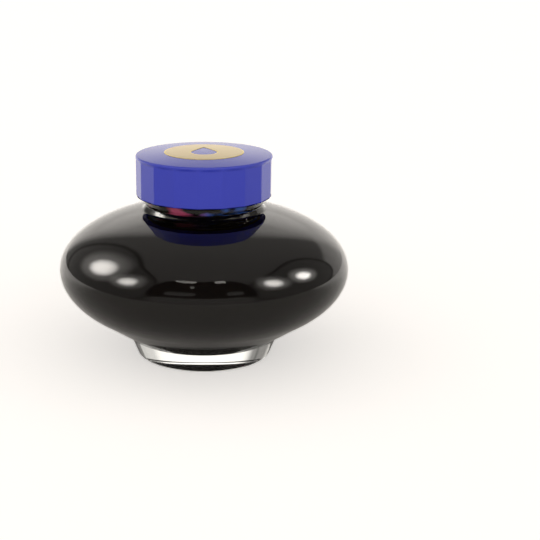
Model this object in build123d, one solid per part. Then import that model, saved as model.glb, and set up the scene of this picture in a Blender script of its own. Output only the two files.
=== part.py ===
from build123d import *
import math
import os

# A round, flattened glass ink bottle on a short clear foot, with a screw cap.
# Millimetres, +Z up. The origin is on the surface the bottle stands on, under its axis.

# Glass body: two half ellipses that share the widest circle
BELLY_RADIUS = 42.0
BELLY_HEIGHT = 26.14
CROWN_RISE = 19.09
BELLY_DROP = 20.6
WALL = 4.2
CAVITY_RISE = 15.0
CAVITY_DROP = 17.6

# Foot: a cone that widens upwards and meets the straight cone under the belly
FOOT_RADIUS = 19.47
FOOT_EDGE = 1.1
FOOT_TOP_RADIUS = 21.92
FOOT_TOP_HEIGHT = 6.13
FOOT_TOP_CURVE = 0.4
CONE_TOP_RADIUS = 32.3
PUNT_RADIUS = 13.0
PUNT_RISE = 1.5

# Neck: a hollow curve up from the shoulder, a bead under the cap, then the threaded finish
NECK_FOOT_RADIUS = 17.8
NECK_RADIUS = 16.75
NECK_CURVE = 1.3
BEAD_RADIUS = 17.15
BEAD_HEIGHT = 45.95
BEAD_HALF_THICKNESS = 1.15
BEAD_TOP_SLOPE = 0.2
FINISH_RADIUS = 15.0
LIP_HEIGHT = 56.6
LIP_EDGE = 0.5
BORE_RADIUS = 12.2
INK_LEVEL = 50.0

# Thread, right-handed: six turns to the inch. Widths are measured along the axis.
PITCH = 25.4 / 6
THREAD_ROOT = 0.2
NECK_THREAD_CREST = 15.95
NECK_THREAD_WIDTHS = (2.3, 1.1)
NECK_THREAD_FOOT = 49.9
NECK_THREAD_TURNS = 1.2
CAP_THREAD_CREST = 15.35
CAP_THREAD_WIDTHS = (1.5, 0.8)
CAP_THREAD_DROP = 1.45
CAP_THREAD_LAG = 0.3
CAP_THREAD_TURNS = 1.0

# Cap: flat-sided shell under a round rim, with a threaded insert and a sealing disc
CAP_FLATS = 18
CAP_FLAT_TURN = 5.0
CAP_CORNER_RADIUS = 19.5
CAP_RIM_RADIUS = 19.57
CAP_FOOT = 47.4
CAP_RIM_FOOT = 58.3
CAP_RIM_TOP = 59.1
CAP_RIM_EDGE = 0.4
CAP_FOOT_EDGE = 0.25
CAP_DOME_RISE = 0.9
SHELL_BORE = 17.6
INSERT_RADIUS = 17.55
INSERT_BORE = 16.4
INSERT_FOOT = 47.6
INSERT_TOP = 58.2
LINER_THICKNESS = 0.9
LINER_RADIUS = 16.05
KEYS = 6
KEY_ROOT = 16.9
KEY_RADIUS = 18.1
KEY_WIDTH = 1.6
KEY_FOOT = 50.0
KEY_PLAY = 0.05

# Gold foil on the crown: a disc with an ink drop left open in it
FOIL_THICKNESS = 0.12
FOIL_RADIUS = 11.4
DROP_RADIUS = 3.7
DROP_CENTRE = -1.9
DROP_LENGTH = 7.8

# Excess length of a cutting or keeping solid past the face it works on
CLEAR = 1.0

LINER_TOP = LIP_HEIGHT + LINER_THICKNESS
DOME_EDGE_RADIUS = CAP_RIM_RADIUS - CAP_RIM_EDGE
DOME_RADIUS = (DOME_EDGE_RADIUS**2 + CAP_DOME_RISE**2) / (2 * CAP_DOME_RISE)
CROWN_TOP = CAP_RIM_TOP + CAP_DOME_RISE


def ellipse_height(radius, half_width, half_height):
    """Height above an ellipse's centre where it reaches the given radius."""
    return half_height * math.sqrt(1 - (radius / half_width) ** 2)


def quarter_ellipse(half_width, half_height, radius):
    """Arc of an ellipse about the belly's centre, from its widest point in to a radius.

    A negative half height gives the lower half.
    """
    angle = math.degrees(math.acos(radius / half_width))
    start = 0 if half_height > 0 else 360 - angle
    return EllipticalCenterArc((0, BELLY_HEIGHT), half_width, abs(half_height), start, arc_size=angle)


def turned(edges, curves=()):
    """Solid of revolution about Z from a closed outline drawn as radius and height.

    Each curve is a corner of the outline and the radius it is rounded to.
    """
    face = Sketch() + make_face(Wire(edges))
    for corner, radius in curves:
        face = fillet(face.vertices().sort_by_distance(corner)[0], radius)
    return revolve(Plane.XZ * face, axis=Axis.Z)


def disc(radius, foot, top):
    """Round disc about Z between two heights."""
    return Pos(0, 0, foot) * Cylinder(radius, top - foot, align=(Align.CENTER, Align.CENTER, Align.MIN))


def thread(root, crest, widths, start_height, turns, start_turn):
    """Helical ridge from a root to a crest radius, with its widths there, starting part of a turn round."""
    path = Helix(pitch=PITCH, height=PITCH * turns, radius=root)
    section_plane = Plane(origin=path @ 0, x_dir=(1, 0, 0), z_dir=path % 0)
    height = crest - root
    wide, narrow = (width / 2 for width in widths)
    section = Polyline((0, -wide), (height, -narrow), (height, narrow), (0, wide), close=True)
    ridge = sweep(section_plane * make_face(section), path=path, is_frenet=True)
    return Pos(0, 0, start_height) * Rot(0, 0, 360 * start_turn) * ridge


def cavity():
    """Room inside the glass, open up through the neck's bore."""
    wide = BELLY_RADIUS - WALL
    bore_foot = BELLY_HEIGHT + ellipse_height(BORE_RADIUS, wide, CAVITY_RISE)
    above = LIP_HEIGHT + CLEAR
    return turned([
        quarter_ellipse(wide, -CAVITY_DROP, 0),
        quarter_ellipse(wide, CAVITY_RISE, BORE_RADIUS),
        Line((BORE_RADIUS, bore_foot), (BORE_RADIUS, above)),
        Line((BORE_RADIUS, above), (0, above)),
        Line((0, above), (0, BELLY_HEIGHT - CAVITY_DROP)),
    ])


def glass_bottle():
    """Foot, belly, neck bead and threaded finish, moulded as one piece of clear glass."""
    cone_top = BELLY_HEIGHT - ellipse_height(CONE_TOP_RADIUS, BELLY_RADIUS, BELLY_DROP)
    shoulder = BELLY_HEIGHT + ellipse_height(NECK_FOOT_RADIUS, BELLY_RADIUS, CROWN_RISE)
    bead_foot = BEAD_HEIGHT - BEAD_HALF_THICKNESS
    bead_top = BEAD_HEIGHT + BEAD_HALF_THICKNESS
    foot_flat = FOOT_RADIUS - FOOT_EDGE
    foot_middle = FOOT_EDGE * (1 - math.sqrt(0.5))
    lip_flat = FINISH_RADIUS - LIP_EDGE
    outside = turned([
        Line((0, 0), (foot_flat, 0)),
        ThreePointArc((foot_flat, 0), (FOOT_RADIUS - foot_middle, foot_middle), (FOOT_RADIUS, FOOT_EDGE)),
        Line((FOOT_RADIUS, FOOT_EDGE), (FOOT_TOP_RADIUS, FOOT_TOP_HEIGHT)),
        Line((FOOT_TOP_RADIUS, FOOT_TOP_HEIGHT), (CONE_TOP_RADIUS, cone_top)),
        quarter_ellipse(BELLY_RADIUS, -BELLY_DROP, CONE_TOP_RADIUS),
        quarter_ellipse(BELLY_RADIUS, CROWN_RISE, NECK_FOOT_RADIUS),
        Line((NECK_FOOT_RADIUS, shoulder), (NECK_RADIUS, bead_foot)),
        ThreePointArc((NECK_RADIUS, bead_foot), (BEAD_RADIUS, BEAD_HEIGHT), (NECK_RADIUS, bead_top)),
        Line((NECK_RADIUS, bead_top), (FINISH_RADIUS, bead_top + BEAD_TOP_SLOPE)),
        Line((FINISH_RADIUS, bead_top + BEAD_TOP_SLOPE), (FINISH_RADIUS, LIP_HEIGHT - LIP_EDGE)),
        Line((FINISH_RADIUS, LIP_HEIGHT - LIP_EDGE), (lip_flat, LIP_HEIGHT)),
        Line((lip_flat, LIP_HEIGHT), (0, LIP_HEIGHT)),
        Line((0, LIP_HEIGHT), (0, 0)),
    ], curves=[
        ((FOOT_TOP_RADIUS, FOOT_TOP_HEIGHT), FOOT_TOP_CURVE),
        ((NECK_FOOT_RADIUS, shoulder), NECK_CURVE),
    ])
    punt_radius = (PUNT_RADIUS**2 + PUNT_RISE**2) / (2 * PUNT_RISE)
    punt = Pos(0, 0, PUNT_RISE - punt_radius) * Sphere(punt_radius)
    root = FINISH_RADIUS - THREAD_ROOT
    ridge = thread(root, NECK_THREAD_CREST, NECK_THREAD_WIDTHS, NECK_THREAD_FOOT, NECK_THREAD_TURNS, 0)
    return outside - punt - cavity() + ridge


def ink():
    """The liquid, which fills the cavity up into the neck."""
    return cavity() & disc(BELLY_RADIUS, 0, INK_LEVEL)


def cap_shell():
    """Blue outer cap: flat sides under a round rim and a slightly domed crown."""
    rim_side = CAP_RIM_TOP - CAP_RIM_EDGE
    outside = turned([
        Line((0, CAP_FOOT), (CAP_RIM_RADIUS - CAP_FOOT_EDGE, CAP_FOOT)),
        Line((CAP_RIM_RADIUS - CAP_FOOT_EDGE, CAP_FOOT), (CAP_RIM_RADIUS, CAP_FOOT + CAP_FOOT_EDGE)),
        Line((CAP_RIM_RADIUS, CAP_FOOT + CAP_FOOT_EDGE), (CAP_RIM_RADIUS, rim_side)),
        TangentArc((CAP_RIM_RADIUS, rim_side), (DOME_EDGE_RADIUS, CAP_RIM_TOP), tangent=(0, 1)),
        RadiusArc((DOME_EDGE_RADIUS, CAP_RIM_TOP), (0, CROWN_TOP), -DOME_RADIUS),
        Line((0, CROWN_TOP), (0, CAP_FOOT)),
    ])
    flat_sides = extrude(
        Pos(0, 0, CAP_FOOT) * RegularPolygon(CAP_CORNER_RADIUS, CAP_FLATS, rotation=CAP_FLAT_TURN),
        CAP_RIM_FOOT - CAP_FOOT,
    )
    shell = outside & (flat_sides + disc(BELLY_RADIUS, CAP_RIM_FOOT, CROWN_TOP))
    shell -= disc(SHELL_BORE, CAP_FOOT, INSERT_TOP)
    return shell - keys(KEY_RADIUS + KEY_PLAY, KEY_WIDTH + 2 * KEY_PLAY, CAP_FOOT)


def keys(radius, width, foot):
    """Ribs round the insert that stop it turning inside the shell, up to the insert's top."""
    middle = Pos((KEY_ROOT + radius) / 2, 0, (foot + INSERT_TOP) / 2)
    rib = middle * Box(radius - KEY_ROOT, width, INSERT_TOP - foot)
    return [location * rib for location in PolarLocations(0, KEYS)]


def cap_insert():
    """Threaded cup inside the shell. The cap's thread draws up under the neck's."""
    cup = disc(INSERT_RADIUS, INSERT_FOOT, INSERT_TOP)
    cup += keys(KEY_RADIUS, KEY_WIDTH, KEY_FOOT)
    cup -= disc(INSERT_BORE, INSERT_FOOT, LINER_TOP)
    root = INSERT_BORE + THREAD_ROOT
    start_height = NECK_THREAD_FOOT - CAP_THREAD_DROP + PITCH * CAP_THREAD_LAG
    ridge = thread(root, CAP_THREAD_CREST, CAP_THREAD_WIDTHS, start_height, CAP_THREAD_TURNS, CAP_THREAD_LAG)
    return cup + ridge


def cap_liner():
    """Foam sealing disc between the insert and the lip."""
    return disc(LINER_RADIUS, LIP_HEIGHT, LINER_TOP)


def emblem_foil():
    """Thin gold foil that follows the crown's dome."""
    lean = math.acos(DROP_RADIUS / DROP_LENGTH)
    side = DROP_RADIUS * math.sin(lean)
    waist = DROP_CENTRE + DROP_RADIUS * math.cos(lean)
    tip = (0, DROP_CENTRE + DROP_LENGTH)
    drop = make_face(Wire([
        Line(tip, (side, waist)),
        ThreePointArc((side, waist), (0, DROP_CENTRE - DROP_RADIUS), (-side, waist)),
        Line((-side, waist), tip),
    ]))
    column = extrude(Pos(0, 0, CAP_RIM_TOP) * (Circle(FOIL_RADIUS) - drop), CAP_DOME_RISE + CLEAR)
    centre = Pos(0, 0, CROWN_TOP - DOME_RADIUS)
    return column & (centre * Sphere(DOME_RADIUS + FOIL_THICKNESS)) - centre * Sphere(DOME_RADIUS)


PIECES = [glass_bottle, ink, cap_shell, cap_insert, cap_liner, emblem_foil]

os.makedirs("parts", exist_ok=True)
for piece in PIECES:
    export_step(piece(), f"parts/{piece.__name__}.step")
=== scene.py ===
import math

import bpy
import numpy as np
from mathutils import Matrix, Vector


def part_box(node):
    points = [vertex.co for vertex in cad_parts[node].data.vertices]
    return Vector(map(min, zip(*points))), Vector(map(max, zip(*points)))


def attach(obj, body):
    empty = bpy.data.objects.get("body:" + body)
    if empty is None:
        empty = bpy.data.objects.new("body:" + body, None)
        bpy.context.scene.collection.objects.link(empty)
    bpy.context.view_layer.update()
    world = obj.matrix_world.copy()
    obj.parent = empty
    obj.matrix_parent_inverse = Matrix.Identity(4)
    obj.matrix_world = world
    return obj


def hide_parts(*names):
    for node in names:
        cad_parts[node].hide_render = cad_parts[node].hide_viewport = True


bl_info = {
    "name": "Ink bottle finish",
    "version": (1, 0, 0),
    "blender": (4, 5, 0),
    "location": "View3D > Sidebar > Ink bottle",
    "description": "Finished surfaces, materials and studio for a glass ink bottle and its screw cap",
    "category": "Object",
}

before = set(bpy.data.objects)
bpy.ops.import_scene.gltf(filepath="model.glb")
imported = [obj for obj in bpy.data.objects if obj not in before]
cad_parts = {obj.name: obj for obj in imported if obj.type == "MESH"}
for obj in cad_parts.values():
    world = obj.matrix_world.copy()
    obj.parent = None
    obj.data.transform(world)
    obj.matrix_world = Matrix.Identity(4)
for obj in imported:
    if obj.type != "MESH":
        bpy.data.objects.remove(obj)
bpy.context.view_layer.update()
MM = 0.001
POLE_GAP = 0.3 * MM
ROUNDING = 0.001 * MM
KEY_SLOPE = 0.004
KEY_PLAY = 0.05 * MM
# Foot of the thin ink in the neck, whose dye streaks are partly painted glints.
THIN_INK_AND_GLINT_FOOT = 43.6 * MM

GLASS_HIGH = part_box("glass_bottle")[1]
INK_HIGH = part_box("ink")[1]
SHELL_LOW, SHELL_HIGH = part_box("cap_shell")
INSERT_LOW, INSERT_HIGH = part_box("cap_insert")
LINER_LOW, LINER_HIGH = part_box("cap_liner")
FOIL_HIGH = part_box("emblem_foil")[1]


# ---------------------------------------------------------------- outlines and surfaces


def straight(start, end, count):
    """Points evenly along a line from start to end, end left out."""
    share = np.linspace(0, 1, count, endpoint=False)[:, None]
    return np.asarray(start) * (1 - share) + np.asarray(end) * share


def oval(centre, half_width, half_height, first, last, count):
    """Points on an ellipse: centre plus the half axes times cosine and sine of the angle, in degrees."""
    angle = np.radians(np.linspace(first, last, count, endpoint=False))
    across = centre[0] + half_width * np.cos(angle)
    along = centre[1] + half_height * np.sin(angle)
    return np.column_stack([across, along])


def rounded(corners, radii, spacing):
    """A path of straight runs with each corner replaced by an arc that touches both its runs.

    The arc starts the radius times the tangent of half the turn before the corner.
    """
    corners = [np.asarray(corner, float) for corner in corners]
    path = [corners[0]]
    for before, corner, after, radius in zip(corners, corners[1:], corners[2:], radii):
        way_in = (corner - before) / np.linalg.norm(corner - before)
        way_out = (after - corner) / np.linalg.norm(after - corner)
        turn = math.atan2(way_in[0] * way_out[1] - way_in[1] * way_out[0], way_in @ way_out)
        reach = abs(radius * math.tan(turn / 2))
        if reach < 1e-9:
            path.append(corner)
            continue
        steps = max(3, int(abs(turn) * 7) + 1)
        swing = np.linspace(0, turn, steps)[:, None]
        side = np.array([-way_in[1], way_in[0]]) * math.copysign(1, turn)
        centre = corner - way_in * reach + side * radius
        path.extend(centre - side * radius * np.cos(swing) + way_in * radius * np.sin(np.abs(swing)))
    path.append(corners[-1])
    return filled(np.array(path), spacing)


def filled(path, spacing):
    """The same path with points added along each run that is longer than the spacing."""
    lengths = np.linalg.norm(np.diff(path, axis=0), axis=1)
    counts = np.maximum(1, np.ceil(lengths / spacing)).astype(int)
    runs = [straight(a, b, n) for a, b, n in zip(path[:-1], path[1:], counts)]
    return np.vstack(runs + [path[-1:]])


def smooth_step(low, high, value):
    """0 below low, 1 above high, and a cubic ease between them."""
    share = np.clip((value - low) / (high - low), 0, 1)
    return share * share * (3 - 2 * share)


def new_piece(name, points, quads, triangles=()):
    """Mesh object from arrays of points and faces, shaded smooth."""
    mesh = bpy.data.meshes.new(name)
    mesh.from_pydata(points.tolist(), [], [*map(tuple, quads.tolist()), *triangles])
    mesh.shade_smooth()
    mesh.validate()
    piece = bpy.data.objects.new(name, mesh)
    bpy.context.scene.collection.objects.link(piece)
    return piece


def grid_faces(rows, columns, rows_join=False):
    """Four-sided faces between neighbours on a grid whose columns join up, and its rows too if asked."""
    row, column = np.meshgrid(np.arange(rows if rows_join else rows - 1), np.arange(columns), indexing="ij")
    after = (column + 1) % columns
    above = (row + 1) % rows
    here, there = row * columns, above * columns
    corners = [here + column, here + after, there + after, there + column]
    return np.stack(corners, axis=-1).reshape(-1, 4)


def turned_piece(name, radius, height, angles):
    """Closed solid of revolution whose radius and height may change with the angle.

    The rows run along the outline, from a pole at the first height to a pole at the last, and the columns
    run round the axis: each point is (radius cos angle, radius sin angle, height).
    """
    rows, columns = radius.shape
    ring = np.stack([radius * np.cos(angles), radius * np.sin(angles), height], axis=-1).reshape(-1, 3)
    points = np.vstack([ring, [0, 0, height[0].mean()], [0, 0, height[-1].mean()]])
    here = np.arange(columns)
    there = (here + 1) % columns
    first_pole, last_pole = len(ring), len(ring) + 1
    last = (rows - 1) * columns
    fans = [*zip([first_pole] * columns, there.tolist(), here.tolist())]
    fans += [*zip([last_pole] * columns, (last + here).tolist(), (last + there).tolist())]
    return new_piece(name, points, grid_faces(rows, columns), fans)


def round_grid(outline, angles):
    """Radius and height of every point of an outline of radius and height, repeated at each angle."""
    return tuple(np.repeat(outline[:, [k]], len(angles), axis=1) for k in (0, 1))


def even_angles(count):
    """Angles evenly round a circle."""
    return np.linspace(0, 2 * np.pi, count, endpoint=False)


def plain_turned(name, outline, columns):
    """Closed solid of revolution from an outline of radius and height, with the same radius all round."""
    angles = even_angles(columns)
    return turned_piece(name, *round_grid(outline, angles), angles)


def helical_ridge(angles, height, foot, pitch, turns, first_turn, widths):
    """Height of a thread's ridge, 0 to 1, over a grid of angles and heights.

    The ridge's middle climbs one pitch each turn. Its section is eased from its narrow width at the crest
    to its wide one at the root, and its first and last parts fade into the wall.
    """
    fade = 0.08
    wide, narrow = widths
    total = np.zeros_like(height)
    for lap in range(math.ceil(turns)):
        along = (angles / (2 * np.pi) - first_turn) % 1 + lap
        away = np.abs(height - foot - pitch * along)
        section = 1 - smooth_step(narrow / 2, wide / 2, away)
        ends = smooth_step(0, fade, along) * (1 - smooth_step(turns - fade, turns, along))
        total = np.maximum(total, section * ends)
    return total


def key_angles(count, half_angle, slope):
    """Angles just inside and just outside both edges of each of several keys evenly round the axis."""
    offsets = np.array([-half_angle - slope, -half_angle, half_angle, half_angle + slope])
    return (np.arange(count)[:, None] * 2 * np.pi / count + offsets).ravel() % (2 * np.pi)


def on_keys(angles, count, half_angle, slope):
    """1 at angles within a key and 0 elsewhere."""
    step = 2 * np.pi / count
    from_key = np.abs((angles + step / 2) % step - step / 2)
    return (from_key < half_angle + slope / 2).astype(float)


# ---------------------------------------------------------------- shader maths


class Term:
    """One shader value. Arithmetic on it adds Math nodes."""

    def __init__(self, recipe, socket):
        self.recipe = recipe
        self.socket = socket

    def _math(self, operation, *values):
        return self.recipe.maths(operation, *values)

    def __add__(self, other):
        return self._math("ADD", self, other)

    def __radd__(self, other):
        return self._math("ADD", other, self)

    def __sub__(self, other):
        return self._math("SUBTRACT", self, other)

    def __rsub__(self, other):
        return self._math("SUBTRACT", other, self)

    def __mul__(self, other):
        return self._math("MULTIPLY", self, other)

    def __rmul__(self, other):
        return self._math("MULTIPLY", other, self)

    def __pow__(self, other):
        return self._math("POWER", self, other)

    def cover(self, mask, level):
        """This value, replaced by a level where a mask is 1."""
        return self * (1 - mask) + mask * level


class Recipe:
    """Builds one node tree, for a material or the world."""

    def __init__(self, tree):
        self.tree = tree
        tree.nodes.clear()

    def node(self, kind, settings=None, sockets=None, output=0):
        """Adds a node: its settings first, then the values or links of its sockets. Returns one output."""
        made = self.tree.nodes.new(kind)
        for name, value in (settings or {}).items():
            if name == "stops":
                for _ in range(len(value) - len(made.color_ramp.elements)):
                    made.color_ramp.elements.new(0.5)
                for element, (place, colour) in zip(made.color_ramp.elements, value):
                    element.position = place
                    element.color = (*colour, 1.0)
            else:
                setattr(made, name, value)
        for name, value in (sockets or {}).items():
            if isinstance(value, Term):
                self.tree.links.new(value.socket, made.inputs[name])
            elif value is not None:
                made.inputs[name].default_value = value
        return Term(self, made.outputs[output]) if made.outputs else None

    def maths(self, operation, *values):
        """One Math node."""
        return self.node("ShaderNodeMath", {"operation": operation}, dict(enumerate(values)))

    def place(self):
        """The object's own coordinates, in metres."""
        return self.node("ShaderNodeTexCoord", output="Object")

    def split(self, vector):
        """The three parts of a vector."""
        made = self.node("ShaderNodeSeparateXYZ", {}, {0: vector}).socket.node
        return [Term(self, part) for part in made.outputs]

    def ease(self, value, low, high):
        """0 below low, 1 above high, and a smooth step between them."""
        sockets = {"Value": value, "From Min": low, "From Max": high}
        settings = {"interpolation_type": "SMOOTHSTEP"}
        return self.node("ShaderNodeMapRange", settings, sockets, output="Result")

    def patch(self, across, up, middle, half_size, power=4.0, soft=0.12):
        """1 inside a rounded rectangle of two values, 0 outside, from powers of both distances added up."""
        sideways = self.maths("ABSOLUTE", (across - middle[0]) * (1 / half_size[0])) ** power
        upright = self.maths("ABSOLUTE", (up - middle[1]) * (1 / half_size[1])) ** power
        return 1 - self.ease(sideways + upright, 1 - soft, 1 + soft)

    def noise(self, scale, detail=3.0, roughness=0.5, vector=None):
        """Even noise from 0 to 1, with features about 1 / scale metres across."""
        place = vector or self.place()
        sockets = {"Vector": place, "Scale": scale, "Detail": detail, "Roughness": roughness}
        return self.node("ShaderNodeTexNoise", {}, sockets, output="Fac")

    def blend(self, factor, first, second):
        """A colour that goes from the first to the second as the factor goes from 0 to 1."""
        sockets = {0: factor, 6: colour4(first), 7: colour4(second)}
        return self.node("ShaderNodeMix", {"data_type": "RGBA"}, sockets, output=2)

    def bump(self, height, strength, distance):
        """Normal bent by a height."""
        sockets = {"Height": height, "Strength": strength, "Distance": distance}
        return self.node("ShaderNodeBump", {}, sockets)

    def surface(self, **sockets):
        """The Principled shader joined to the output. Underscores in names stand for spaces."""
        named = {name.replace("_", " "): value for name, value in sockets.items()}
        shader = self.node("ShaderNodeBsdfPrincipled", {}, named)
        self.node("ShaderNodeOutputMaterial", {}, {"Surface": shader})


def colour4(value):
    """A colour with its alpha, left as it is if it is already a shader value."""
    return value if isinstance(value, Term) else (*value[:3], 1.0)


def new_material(name, build, settings):
    """Material whose node tree the build function fills in."""
    material = bpy.data.materials.new(name)
    material.use_nodes = True
    build(Recipe(material.node_tree), settings)
    return material


def clear_glass(recipe, look):
    """Fire-polished glass with a hardly visible slow waviness from the mould."""
    waves = recipe.noise(38.0, 0.0, 0.4)
    film = recipe.noise(60.0, 1.0)
    recipe.surface(
        Base_Color=recipe.blend(film, look.glass_tint, (1.0, 1.0, 1.0)),
        Roughness=0.0,
        IOR=1.5,
        Transmission_Weight=1.0,
        Normal=recipe.bump(waves, 0.1, 0.0004),
    )


def black_ink(recipe, look):
    """Ink seen through the wall, warm and nearly black, with no gloss of its own against the glass.

    Thin ink left in the neck shows its dyes, blue on the right and pink on the left, in bright streaks that
    are also painted glints of coloured highlight.
    """
    drift = recipe.noise(45.0, 2.0)
    x, y, z = recipe.split(recipe.place())
    round_neck = recipe.node("ShaderNodeCombineXYZ", {}, {0: x, 1: y, 2: z * 8.0})
    # Painted glints: bright pink streaks on the left and blue on the right of the thin ink in the neck,
    # partly dye colour and partly painted coloured highlight.
    streaks = recipe.ease(recipe.noise(110.0, 2.0, vector=round_neck), 0.5, 0.64)
    thin_ink_and_glint = recipe.ease(z, THIN_INK_AND_GLINT_FOOT, THIN_INK_AND_GLINT_FOOT + 0.8 * MM) * streaks
    dye_and_glint = recipe.blend(recipe.ease(x, -5 * MM, 3 * MM), look.pink_dye_and_glint, look.blue_dye_and_glint)
    deep = recipe.blend(drift, look.ink_colour, tuple(c * 1.5 for c in look.ink_colour))
    recipe.surface(
        Base_Color=recipe.blend(thin_ink_and_glint, deep, dye_and_glint),
        Roughness=drift * 0.08 + 0.04,
        IOR=1.33,
        Specular_IOR_Level=0.0,
    )


def satin_blue(recipe, look):
    """Moulded blue plastic with a fine satin grain and slightly deeper patches."""
    grain = recipe.noise(2600.0, 2.0)
    drift = recipe.noise(120.0, 2.0)
    deep = tuple(c * 0.95 for c in look.cap_colour)
    recipe.surface(
        Base_Color=recipe.blend(drift, deep, look.cap_colour),
        Roughness=drift * 0.02 + 0.25,
        IOR=1.5,
        Normal=recipe.bump(grain, 0.08, 0.00004),
    )


def black_moulding(recipe, look):
    """Matt black plastic with a fine grain."""
    grain = recipe.noise(1800.0, 3.0)
    recipe.surface(
        Base_Color=recipe.blend(grain, (0.012, 0.012, 0.014), (0.03, 0.03, 0.034)),
        Roughness=grain * 0.15 + 0.42,
        Normal=recipe.bump(grain, 0.15, 0.00005),
    )


def foam(recipe, look):
    """Closed-cell foam: small pale cells with darker walls, pressed smooth in a ring by the lip."""
    x, y, _ = recipe.split(recipe.place())
    away = (x * x + y * y) ** 0.5
    ring = recipe.ease(away, 12.2 * MM, 12.6 * MM) * (1 - recipe.ease(away, 14.4 * MM, 14.9 * MM))
    cells = recipe.node(
        "ShaderNodeTexVoronoi", {"feature": "DISTANCE_TO_EDGE"}, {"Vector": recipe.place(), "Scale": 1500.0}
    )
    pressed = recipe.blend(cells, (0.62, 0.62, 0.59), (0.74, 0.74, 0.71))
    open_cells = recipe.blend(cells, (0.55, 0.55, 0.52), (0.86, 0.86, 0.83))
    recipe.surface(
        Base_Color=recipe.blend(ring, open_cells, pressed),
        Roughness=0.75 - ring * 0.25,
        Normal=recipe.bump(cells, 0.3, 0.0001),
    )


def gold_foil(recipe, look):
    """Hot-stamped gold, with a yellower line along both its edges."""
    across = recipe.node("ShaderNodeUVMap", {"uv_map": "across"})
    edge = 1 - recipe.ease(recipe.split(across)[1], 0.3, 0.5)
    grain = recipe.noise(3000.0, 3.0)
    recipe.surface(
        Base_Color=recipe.blend(edge, look.foil_colour, look.foil_edge_colour),
        Roughness=grain * 0.2 + 0.28,
        Metallic=1.0,
        Normal=recipe.bump(grain, 0.12, 0.00003),
    )


def pale_floor(recipe, look):
    """Smooth pale board, lit up from beneath for the camera so that it reads as a white sweep; in
    reflections it carries painted shade in front and painted light behind.
    """
    seen = recipe.node("ShaderNodeLightPath", output="Is Camera Ray")
    # Painted light and shade seen in reflections: the floor behind is painted brighter and given a glow,
    # the floor in front is painted darker.
    behind = recipe.ease(recipe.split(recipe.place())[1], -0.04, 0.14)
    mottle = recipe.noise(14.0, 3.0)
    board = recipe.blend(mottle, tuple(c * 0.985 for c in look.floor_colour), look.floor_colour)
    shade = recipe.blend(behind, look.floor_shade, look.floor_lit_behind)
    glow = recipe.blend(behind, (0.0, 0.0, 0.0), look.glow_behind)
    recipe.surface(
        Base_Color=recipe.blend(seen, shade, board),
        Roughness=0.8,
        Specular_IOR_Level=0.0,
        Emission_Color=recipe.blend(seen, glow, look.floor_glow),
        Emission_Strength=1.0,
    )


def tent_mirrored(recipe, back, front, up):
    """What clear glass mirrors: bright cloth behind, grey sides with two lamps each, dark in front."""
    light = recipe.ease(up, 20.0, 75.0) * 0.15 + 0.3
    light = light.cover(recipe.patch(back, up, (40, 8), (22, 16), 3.0, 0.5), 0.8)
    light = light.cover(recipe.patch(back, up, (1, 12), (29, 36), 3.0, 0.5), 1.25)
    light = light.cover(recipe.patch(back, up, (0, 24), (22, 9), 3.0, 0.7), 1.6)
    for middle, half_size in (((-85, 28), (49, 32)), ((97, 26), (42, 27))):
        seam = (half_size[0] + 2, half_size[1] + 2)
        light = light.cover(recipe.patch(back, up, middle, seam, 3.0), 0.1)
        light = light.cover(recipe.patch(back, up, middle, half_size, 3.0), 0.3)
    for middle, half_size, strength in (
        ((-71, 36), (12, 9.5), 13),
        ((-107, 38), (8, 7.5), 13),
        ((84, 31), (6.5, 6), 20),
        ((114, 39), (7.5, 7.5), 15),
    ):
        wide = (half_size[0] * 1.8, half_size[1] * 1.8)
        light = light + recipe.patch(back, up, middle, half_size, 2.0, 1.0) * (strength * 0.88)
        light = light + recipe.patch(back, up, middle, wide, 2.0, 1.0) * (strength * 0.12)
    for middle, half_size, level in (
        ((-2, 36), (46, 27), 0.06),
        ((-2, 9), (41, 11), 0.42),
        ((-20, 31), (13, 5), 0.4),
        ((26, 31), (7, 5), 0.45),
        ((-12, 50), (2.5, 2.5), 1.5),
        ((-22, 61), (13, 2.5), 3.0),
        ((20, 61), (7, 2.5), 3.5),
    ):
        light = light.cover(recipe.patch(front, up, middle, half_size), level)
    return light


def tent_lit(recipe, back, front, up):
    """What lights everything else: the same tent blurred, strongest low behind, with a fill in front."""
    light = recipe.ease(up, 0.0, 70.0) * -0.15 + 0.53
    light = light + recipe.patch(back, up, (0, 2), (48, 15), 2.0, 1.0) * 1.05
    light = light + recipe.patch(back, up, (-85, 30), (40, 25), 2.0, 1.0) * 0.5
    light = light + recipe.patch(back, up, (-34, 3), (14, 10), 2.0, 1.0) * 0.8
    light = light + recipe.patch(back, up, (98, 30), (36, 22), 2.0, 1.0) * 0.4
    return light + recipe.patch(front, up, (0, 14), (62, 26), 2.0, 1.0) * 1.4


def light_tent(recipe, look):
    """The tent round the bottle, plain white where the camera sees it.

    Directions are degrees round from the back or from the front, positive to the right, and degrees up.
    """
    x, y, z = recipe.split(recipe.node("ShaderNodeTexCoord", output="Generated"))
    degree = math.degrees(1)
    back = recipe.maths("ARCTAN2", x, y) * degree
    front = recipe.maths("ARCTAN2", x, 0 - y) * degree
    up = recipe.maths("ARCSINE", z) * degree
    sharp = recipe.node("ShaderNodeLightPath", output="Is Singular Ray")
    light = tent_lit(recipe, back, front, up).cover(sharp, tent_mirrored(recipe, back, front, up))
    sockets = {0: look.tent_colour, "Scale": light}
    warm = recipe.node("ShaderNodeVectorMath", {"operation": "SCALE"}, sockets)
    seen = recipe.node("ShaderNodeLightPath", output="Is Camera Ray")
    glow = recipe.node("ShaderNodeBackground", {}, {"Color": recipe.blend(seen, warm, (1, 1, 1))})
    recipe.node("ShaderNodeOutputWorld", {}, {"Surface": glow})


# ---------------------------------------------------------------- settings


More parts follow.
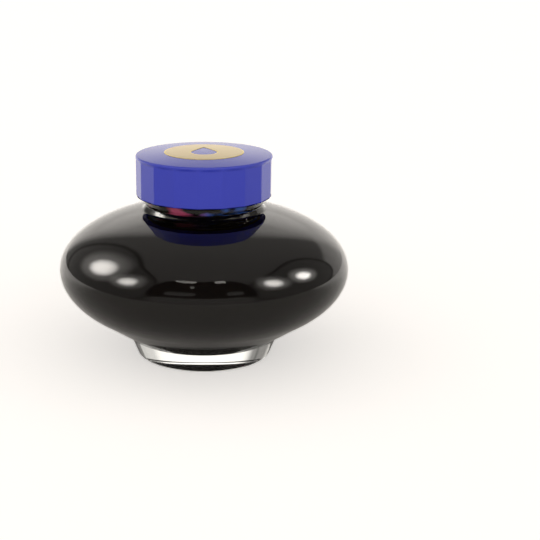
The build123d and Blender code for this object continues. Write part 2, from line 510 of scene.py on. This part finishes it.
def length(name, description, default, low=0.0, high=1.0):
    return bpy.props.FloatProperty(
        name=name, description=description, default=default,
        min=low, max=high, subtype="DISTANCE", unit="LENGTH",
    )


def tint(name, description, default):
    return bpy.props.FloatVectorProperty(
        name=name, description=description, default=default, size=3, min=0.0, max=1.0, subtype="COLOR"
    )


class BottleShape(bpy.types.PropertyGroup):
    """Sizes of the bottle and its cap."""

    belly_radius: length("Belly radius", "Half the widest width", GLASS_HIGH[0])
    belly_height: length("Belly height", "Height of the widest circle", 26.14 * MM)
    crown_rise: length("Crown rise", "Half height of the upper half ellipse", 19.09 * MM)
    belly_drop: length("Belly drop", "Half height of the lower half ellipse", 20.6 * MM)
    wall: length("Wall", "Glass thickness at the widest circle", GLASS_HIGH[0] - INK_HIGH[0])
    cavity_rise: length("Cavity rise", "Half height of the cavity above the widest circle", 15.0 * MM)
    cavity_drop: length("Cavity drop", "Half height of the cavity below the widest circle", 17.6 * MM)
    foot_radius: length("Foot radius", "Radius of the foot near the floor", 19.47 * MM)
    foot_edge: length("Foot edge", "Rounding of the foot's lower edge", 1.1 * MM)
    foot_top_radius: length("Foot top radius", "Radius where the foot meets the belly", 21.92 * MM)
    foot_top_height: length("Foot top height", "Height where the foot meets the belly", 6.13 * MM)
    foot_top_curve: length("Foot top curve", "Radius of the corner above the foot", 0.4 * MM)
    cone_top_radius: length("Cone top radius", "Radius where the cone under the belly ends", 32.3 * MM)
    punt_radius: length("Punt radius", "Radius of the hollow under the foot", 13.0 * MM)
    punt_rise: length("Punt rise", "Depth of the hollow under the foot", 1.5 * MM)
    neck_foot_radius: length("Neck foot radius", "Radius where the neck meets the shoulders", 17.8 * MM)
    neck_radius: length("Neck radius", "Radius of the neck under its bead", 16.75 * MM)
    neck_curve: length("Neck curve", "Radius of the hollow curve at the neck's foot", 1.3 * MM)
    bead_radius: length("Bead radius", "Outer radius of the neck's bead", 17.15 * MM)
    bead_height: length("Bead height", "Height of the bead's middle", 45.95 * MM)
    bead_half: length("Bead half thickness", "Half the bead's thickness", 1.15 * MM)
    finish_radius: length("Finish radius", "Radius of the neck between its threads", 15.0 * MM)
    bore_radius: length("Bore radius", "Radius of the neck's bore", 12.2 * MM)
    thread_crest: length("Thread crest", "Outer radius of the neck's thread", 15.95 * MM)
    thread_foot: length("Thread foot", "Height where the neck's thread starts", 49.9 * MM)
    pitch: length("Pitch", "Rise of the thread in one turn", 25.4 / 6 * MM)
    cap_flats: bpy.props.IntProperty(
        name="Cap flats", description="Flat sides of the cap", default=18, min=3
    )
    cap_flat_turn: bpy.props.FloatProperty(
        name="Flat turn", description="Angle of the cap's first corner",
        default=math.radians(5), subtype="ANGLE",
    )
    corner_inset: length("Corner inset", "How far the flats' corners stay inside the rim", 0.07 * MM)
    dome_rise: length("Dome rise", "Rise of the crown from its edge to its middle", 0.9 * MM)
    rim_height: length("Rim height", "Depth of the round rim above the flats", 1.7 * MM)
    rim_edge: length("Rim edge", "Rounding of the crown's edge", 0.4 * MM)
    shell_bore: length("Shell bore", "Radius of the room inside the shell", 17.6 * MM)
    insert_radius: length("Insert radius", "Outer radius of the threaded insert", 17.55 * MM)
    insert_bore: length("Insert bore", "Radius inside the insert between its threads", 16.4 * MM)
    cap_thread_crest: length("Cap thread crest", "Inner radius of the cap's thread", 15.35 * MM)
    cap_thread_foot: length("Cap thread foot", "Height where the cap's thread starts", 49.72 * MM)
    keys: bpy.props.IntProperty(
        name="Keys", description="Ribs that lock the insert in the shell", default=6, min=1
    )
    key_width: length("Key width", "Width of each key", 1.6 * MM)
    key_foot: length("Key foot", "Height where the keys start", 50.0 * MM)
    key_radius: length("Key radius", "Outer radius of the keys", INSERT_HIGH[0])
    drop_bowl: length("Drop bowl", "Radius of the ink drop's round end", 3.7 * MM)
    drop_length: length("Drop length", "From the middle of the drop's bowl to its tip", 7.8 * MM)
    drop_offset: length("Drop offset", "How far the drop's bowl is in front of the middle", 1.9 * MM)
    foil_thickness: length("Foil thickness", "Thickness of the gold", 0.12 * MM)


class BottleLook(bpy.types.PropertyGroup):
    """Colours of the bottle, the cap and the studio."""

    glass_tint: tint("Glass tint", "Tint of the clear glass", (0.93, 0.965, 0.955))
    ink_colour: tint("Ink colour", "Colour of the ink through the glass", (0.003, 0.0018, 0.0012))
    # Pink and blue are partly dye colour and partly painted glints in the neck's thin ink.
    pink_dye_and_glint: tint("Pink dye", "Thin ink in the neck on the left", (0.85, 0.12, 0.28))
    blue_dye_and_glint: tint("Blue dye", "Thin ink in the neck on the right", (0.06, 0.22, 0.95))
    cap_colour: tint("Cap colour", "Colour of the cap's shell", (0.037, 0.052, 0.51))
    foil_colour: tint("Foil colour", "Colour of the gold foil", (0.80, 0.66, 0.40))
    foil_edge_colour: tint("Foil edge colour", "Colour of the foil's bright edge", (0.95, 0.78, 0.32))
    floor_colour: tint("Floor colour", "Colour of the floor", (0.93, 0.915, 0.90))
    # Floor colours seen in reflections: painted shade in front, painted light behind.
    floor_shade: tint("Floor shade", "Colour of the floor in reflections", (0.70, 0.685, 0.67))
    floor_lit_behind: tint("Floor behind", "Colour in reflections of the floor behind", (0.95, 0.93, 0.90))
    glow_behind: tint("Glow behind", "Light in reflections of the floor behind", (0.60, 0.59, 0.57))
    floor_glow: tint("Floor glow", "Light that the floor gives off towards the camera", (0.43, 0.425, 0.42))
    tent_colour: tint("Tent colour", "Tint of the tent's light", (1.0, 0.955, 0.90))


def finish_piece(piece, material, body, node):
    """Gives a piece its material and body, and hides the CAD node that it stands for."""
    piece.data.materials.append(material)
    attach(piece, body)
    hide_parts(node)


# ---------------------------------------------------------------- pieces


def cavity_outline(shape, outward):
    """Radius and height of the cavity from the bore down to the bottom pole, moved outward a little."""
    wide = shape.belly_radius - shape.wall + outward
    bore = shape.bore_radius + outward
    rise = shape.cavity_rise + outward
    drop = shape.cavity_drop + outward
    meet = math.degrees(math.acos(bore / wide))
    centre = (0.0, shape.belly_height)
    upper = oval(centre, wide, rise, meet, 0, 60)
    lower = oval(centre, wide, drop, 0, -90, 80)
    return upper, lower


def glass_outline(shape):
    """Radius and height of the glass, from the middle of its underside, up the outside, down the cavity."""
    lip = LINER_LOW[2]
    centre = (0.0, shape.belly_height)
    cone_share = shape.cone_top_radius / shape.belly_radius
    neck_share = shape.neck_foot_radius / shape.belly_radius
    cone_top = shape.belly_height - shape.belly_drop * math.sqrt(1 - cone_share**2)
    shoulder = shape.belly_height + shape.crown_rise * math.sqrt(1 - neck_share**2)
    bead_foot = shape.bead_height - shape.bead_half
    bead_top = shape.bead_height + shape.bead_half
    punt = straight((POLE_GAP, shape.punt_rise), (shape.punt_radius, 0), 24)
    punt[:, 1] = shape.punt_rise * (1 - (punt[:, 0] / shape.punt_radius) ** 2)
    foot = rounded(
        [
            (shape.punt_radius, 0),
            (shape.foot_radius - 0.1 * MM, 0),
            (shape.foot_top_radius, shape.foot_top_height),
            (shape.cone_top_radius, cone_top),
        ],
        [shape.foot_edge, shape.foot_top_curve],
        0.5 * MM,
    )[:-1]
    cone_angle = -math.degrees(math.acos(cone_share))
    neck_angle = math.degrees(math.acos(neck_share))
    belly_low = oval(centre, shape.belly_radius, shape.belly_drop, cone_angle, 0, 40)
    belly_high = oval(centre, shape.belly_radius, shape.crown_rise, 0, neck_angle - 2.2, 70)
    neck = rounded(
        [tuple(belly_high[-1]), (shape.neck_foot_radius, shoulder), (shape.neck_radius, bead_foot)],
        [shape.neck_curve],
        0.2 * MM,
    )[1:-1]
    bead_reach = shape.bead_radius - shape.neck_radius
    bead = oval((shape.neck_radius, shape.bead_height), bead_reach, shape.bead_half, -90, 90, 18)
    finish = rounded(
        [
            (shape.neck_radius, bead_top),
            (shape.finish_radius, bead_top + 0.1 * MM),
            (shape.finish_radius, lip),
            (shape.bore_radius, lip),
            (shape.bore_radius, shape.belly_height + shape.cavity_rise),
        ],
        [0.3 * MM, 0.7 * MM, 0.6 * MM],
        0.16 * MM,
    )[:-1]
    upper, lower = cavity_outline(shape, 0.0)
    return np.vstack([punt, foot, belly_low, belly_high, neck, bead, finish, upper, lower])


class OBJECT_OT_bottle_glass(bpy.types.Operator):
    """Moulded glass bottle: foot, belly, beaded neck, thread, bore and cavity in one closed surface."""

    bl_idname = "object.bottle_glass"
    bl_label = "Glass bottle"

    def execute(self, context):
        shape = context.scene.bottle_shape
        angles = even_angles(190)
        radius, height = round_grid(glass_outline(shape), angles)
        on_finish = (radius > shape.finish_radius - 0.2 * MM) & (height > INSERT_LOW[2])
        below_lip = height < LINER_LOW[2] - 0.8 * MM
        widths = (2.3 * MM, 1.1 * MM)
        ridge = helical_ridge(angles, height, shape.thread_foot, shape.pitch, 1.2, 0.0, widths)
        radius += on_finish * below_lip * ridge * (shape.thread_crest - shape.finish_radius)
        piece = turned_piece("glass_bottle_skin", radius, height, angles)
        material = new_material("clear_glass", clear_glass, context.scene.bottle_look)
        finish_piece(piece, material, "bottle", "glass_bottle")
        return {"FINISHED"}


class OBJECT_OT_bottle_ink(bpy.types.Operator):
    """Ink filling the cavity, with a meniscus where it climbs the neck's bore."""

    bl_idname = "object.bottle_ink"
    bl_label = "Ink"

    def execute(self, context):
        shape = context.scene.bottle_shape
        wetting = 0.05 * MM
        upper, lower = cavity_outline(shape, wetting)
        inside = np.vstack([upper, lower])[::-1]
        bore = shape.bore_radius + wetting
        level = INK_HIGH[2]
        side = straight((bore, inside[-1][1]), (bore, level), 24)[1:]
        across = np.linspace(bore, POLE_GAP, 30)
        fall = 0.6 * MM * (1 - np.exp((across - bore) / (0.9 * MM)))
        outline = np.vstack([inside, side, np.column_stack([across, level - fall])])
        piece = plain_turned("ink_fill", outline, 160)
        material = new_material("ink", black_ink, context.scene.bottle_look)
        finish_piece(piece, material, "bottle", "ink")
        return {"FINISHED"}


def flat_sided(angles, corner_radius, flats, corner_turn, rounding):
    """Radius of a regular polygon with rounded corners.

    On a flat it is the apothem over the cosine of the angle from the flat's middle. Near a corner it is
    the far side of a small circle that touches both flats.
    """
    half = math.pi / flats
    from_corner = np.abs((angles - corner_turn + half) % (2 * half) - half)
    apothem = corner_radius * math.cos(half)
    centre = (apothem - rounding) / math.cos(half)
    touch = math.atan2(rounding * math.sin(half), centre + rounding * math.cos(half))
    near = centre * np.cos(from_corner) + np.sqrt(
        np.maximum(rounding**2 - (centre * np.sin(from_corner)) ** 2, 0)
    )
    return np.where(from_corner < touch, near, apothem / np.cos(half - from_corner))


class OBJECT_OT_cap_shell(bpy.types.Operator):
    """Blue shell: flat sides under a round rim, domed crown, and a bore with keyways for the insert."""

    bl_idname = "object.cap_shell"
    bl_label = "Cap shell"

    def execute(self, context):
        shape = context.scene.bottle_shape
        rim = SHELL_HIGH[0]
        low, top = SHELL_LOW[2], SHELL_HIGH[2]
        crown_edge = top - shape.dome_rise
        ledge = top - shape.rim_height
        ceiling = INSERT_HIGH[2]
        inner_corners = [(POLE_GAP, ceiling), (shape.shell_bore, ceiling), (shape.shell_bore, low)]
        inner = rounded([*inner_corners, (rim, low)], [0.3 * MM, 0.25 * MM], 0.25 * MM)[:-1]
        outer_corners = [tuple(inner[-1]), (rim, low), (rim, crown_edge), (POLE_GAP, crown_edge)]
        outer = rounded(outer_corners, [0.3 * MM, shape.rim_edge], 0.25 * MM)[1:]
        outline = np.vstack([inner, outer])

        half_step = math.pi / shape.cap_flats
        share = (np.arange(16) + 0.5) / 8 - 1
        spread = np.sign(share) * (1 - (1 - np.abs(share)) ** 1.6)
        middles = shape.cap_flat_turn + half_step * (1 + 2 * np.arange(shape.cap_flats))
        key_half = (shape.key_width / 2 + KEY_PLAY) / shape.shell_bore
        flat_angles = ((middles[:, None] + half_step * spread) % (2 * np.pi)).ravel()
        edge_angles = key_angles(shape.keys, key_half, KEY_SLOPE)
        angles = np.unique(np.concatenate([flat_angles, edge_angles]).round(6))
        radius, height = round_grid(outline, angles)

        is_outer = (np.arange(len(outline)) >= len(inner))[:, None]
        on_crown = is_outer & (height > crown_edge - shape.rim_edge)
        corner = rim - shape.corner_inset
        flat = flat_sided(angles, corner, shape.cap_flats, shape.cap_flat_turn, 0.8 * MM)
        below = 1 - smooth_step(ledge - 0.45 * MM, ledge + 0.15 * MM, height)
        on_side = is_outer & ~on_crown & (radius > shape.shell_bore + 0.9 * MM)
        radius = np.where(on_side, radius + (flat - rim) * below, radius)
        keyway = on_keys(angles, shape.keys, key_half, KEY_SLOPE) * (height < ceiling - 0.2 * MM)
        on_bore = ~is_outer & (np.abs(radius - shape.shell_bore) < 0.05 * MM)
        key_depth = shape.key_radius + KEY_PLAY - shape.shell_bore
        radius = np.where(on_bore, radius + keyway * key_depth, radius)
        lift = shape.dome_rise * (1 - (radius / (rim - shape.rim_edge)) ** 2)
        height = np.where(is_outer & (height > crown_edge - ROUNDING), height + np.maximum(lift, 0), height)
        piece = turned_piece("cap_shell_skin", radius, height, angles)
        material = new_material("satin_blue", satin_blue, context.scene.bottle_look)
        finish_piece(piece, material, "cap", "cap_shell")
        return {"FINISHED"}


class OBJECT_OT_cap_insert(bpy.types.Operator):
    """Threaded cup inside the shell, with keys round it and a thread that fades in and out of its wall."""

    bl_idname = "object.cap_insert"
    bl_label = "Threaded insert"

    def execute(self, context):
        shape = context.scene.bottle_shape
        low, top = INSERT_LOW[2], INSERT_HIGH[2]
        inner_top = LINER_HIGH[2]
        outline = rounded(
            [
                (POLE_GAP, inner_top),
                (shape.insert_bore, inner_top),
                (shape.insert_bore, low),
                (shape.insert_radius, low),
                (shape.insert_radius, top),
                (POLE_GAP, top),
            ],
            [0.15 * MM, 0.3 * MM, 0.25 * MM, 0.15 * MM],
            0.22 * MM,
        )
        key_half = shape.key_width / 2 / shape.insert_radius
        angles = np.unique(
            np.concatenate([even_angles(180), key_angles(shape.keys, key_half, KEY_SLOPE)]).round(6)
        )
        radius, height = round_grid(outline, angles)
        on_wall = np.abs(radius - shape.insert_bore) < 0.01 * MM
        widths = (1.5 * MM, 0.8 * MM)
        ridge = helical_ridge(angles, height, shape.cap_thread_foot, shape.pitch, 1.0, 0.3, widths)
        radius -= on_wall * ridge * (shape.insert_bore - shape.cap_thread_crest)
        on_outside = (np.abs(radius - shape.insert_radius) < 0.01 * MM) & (height > shape.key_foot)
        on_key = on_keys(angles, shape.keys, key_half, KEY_SLOPE)
        radius += on_outside * on_key * (shape.key_radius - shape.insert_radius)
        piece = turned_piece("cap_insert_skin", radius, height, angles)
        material = new_material("black_moulding", black_moulding, context.scene.bottle_look)
        finish_piece(piece, material, "cap", "cap_insert")
        return {"FINISHED"}


class OBJECT_OT_cap_liner(bpy.types.Operator):
    """Foam sealing disc with rounded edges, marked by the lip."""

    bl_idname = "object.cap_liner"
    bl_label = "Sealing disc"

    def execute(self, context):
        edge = LINER_HIGH[0]
        low, high = LINER_LOW[2], LINER_HIGH[2]
        corners = [(POLE_GAP, low), (edge, low), (edge, high), (POLE_GAP, high)]
        piece = plain_turned("cap_liner_disc", rounded(corners, [0.2 * MM, 0.2 * MM], 0.7 * MM), 120)
        material = new_material("foam", foam, context.scene.bottle_look)
        finish_piece(piece, material, "seal", "cap_liner")
        return {"FINISHED"}


def drop_reach(angles, bowl, length):
    """Distance from the middle of an ink drop's bowl to its edge, at angles from the way to its tip.

    Round the bowl it is the bowl's radius. Towards the tip it is that over the cosine of the angle from the
    foot of the straight side.
    """
    lean = math.acos(bowl / length)
    return bowl / np.cos(np.maximum(lean - np.abs(angles), 0))


class OBJECT_OT_cap_emblem(bpy.types.Operator):
    """Gold disc on the crown with an ink drop left open in it, following the dome."""

    bl_idname = "object.cap_emblem"
    bl_label = "Gold emblem"

    def execute(self, context):
        shape = context.scene.bottle_shape
        edge = FOIL_HIGH[0]
        angles = even_angles(160)
        from_tip = (angles - np.pi / 2 + np.pi) % (2 * np.pi) - np.pi
        inner = drop_reach(from_tip, shape.drop_bowl, shape.drop_length)
        sine = np.sin(angles)
        offset = shape.drop_offset
        outer = offset * sine + np.sqrt(edge**2 - offset**2 * (1 - sine**2))
        share = smooth_step(0, 1, np.linspace(0, 1, 24))
        section = np.concatenate([share, share[::-1]])[:, None]
        is_top = (np.arange(len(section)) >= len(share))[:, None]
        reach = inner + (outer - inner) * section
        x = reach * np.cos(angles)
        y = reach * sine - offset
        crown = SHELL_HIGH[2] - shape.dome_rise * (x**2 + y**2) / (SHELL_HIGH[0] - shape.rim_edge) ** 2
        from_edge = np.minimum(section, 1 - section) * (outer - inner)
        thickness = shape.foil_thickness * (0.6 + 0.4 * smooth_step(0, 0.15 * MM, from_edge))
        z = crown + is_top * thickness
        points = np.stack([x, y, z], axis=-1).reshape(-1, 3)
        piece = new_piece("emblem_gold", points, grid_faces(len(section), len(angles), rows_join=True))
        mesh = piece.data
        corner = np.empty(len(mesh.loops), int)
        mesh.loops.foreach_get("vertex_index", corner)
        around = np.broadcast_to(angles / (2 * np.pi), from_edge.shape).ravel()
        across = np.stack([around, from_edge.ravel() / MM], axis=-1)[corner]
        mesh.uv_layers.new(name="across").data.foreach_set("uv", across.astype(np.float32).ravel())
        material = new_material("gold_foil", gold_foil, context.scene.bottle_look)
        finish_piece(piece, material, "cap", "emblem_foil")
        return {"FINISHED"}


class SCENE_OT_bottle_stage(bpy.types.Operator):
    """Pale floor, soft light all round and the camera."""

    bl_idname = "scene.bottle_stage"
    bl_label = "Stage"

    def execute(self, context):
        scene = context.scene
        reach = 20.0
        corners = np.array([[-reach, -reach, 0], [reach, -reach, 0], [reach, reach, 0], [-reach, reach, 0]])
        floor = new_piece("floor", corners, np.array([[0, 1, 2, 3]]))
        floor.data.materials.append(new_material("pale_floor", pale_floor, scene.bottle_look))

        world = bpy.data.worlds.new("light_tent")
        scene.world = world
        world.use_nodes = True
        light_tent(Recipe(world.node_tree), scene.bottle_look)

        camera_data = bpy.data.cameras.new("camera")
        camera = bpy.data.objects.new("camera", camera_data)
        scene.collection.objects.link(camera)
        camera.location = (0.0, -8.0 * GLASS_HIGH[0], 2.956 * GLASS_HIGH[0])
        camera.rotation_euler = (math.pi / 2 - 0.2764, 0.0, 0.0)
        camera_data.sensor_width = 36.0
        camera_data.lens = 79.67
        camera_data.shift_x = 0.1222
        camera_data.shift_y = -0.0259
        camera_data.clip_start = 0.01
        scene.camera = camera
        scene.view_settings.view_transform = "Standard"
        return {"FINISHED"}


class VIEW3D_PT_ink_bottle(bpy.types.Panel):
    """Lists the steps that finish the bottle."""

    bl_label = "Ink bottle"
    bl_idname = "VIEW3D_PT_ink_bottle"
    bl_space_type = "VIEW_3D"
    bl_region_type = "UI"
    bl_category = "Ink bottle"

    def draw(self, context):
        for step in STEPS:
            self.layout.operator(step.bl_idname)


STEPS = (
    OBJECT_OT_bottle_glass,
    OBJECT_OT_bottle_ink,
    OBJECT_OT_cap_shell,
    OBJECT_OT_cap_insert,
    OBJECT_OT_cap_liner,
    OBJECT_OT_cap_emblem,
    SCENE_OT_bottle_stage,
)
CLASSES = (BottleShape, BottleLook, *STEPS, VIEW3D_PT_ink_bottle)


def register():
    for cls in CLASSES:
        bpy.utils.register_class(cls)
    bpy.types.Scene.bottle_shape = bpy.props.PointerProperty(type=BottleShape)
    bpy.types.Scene.bottle_look = bpy.props.PointerProperty(type=BottleLook)


def unregister():
    del bpy.types.Scene.bottle_look
    del bpy.types.Scene.bottle_shape
    for cls in reversed(CLASSES):
        bpy.utils.unregister_class(cls)


def main():
    register()
    bpy.ops.object.bottle_glass()
    bpy.ops.object.bottle_ink()
    bpy.ops.object.cap_shell()
    bpy.ops.object.cap_insert()
    bpy.ops.object.cap_liner()
    bpy.ops.object.cap_emblem()
    bpy.ops.scene.bottle_stage()


if __name__ == "__main__":
    main()
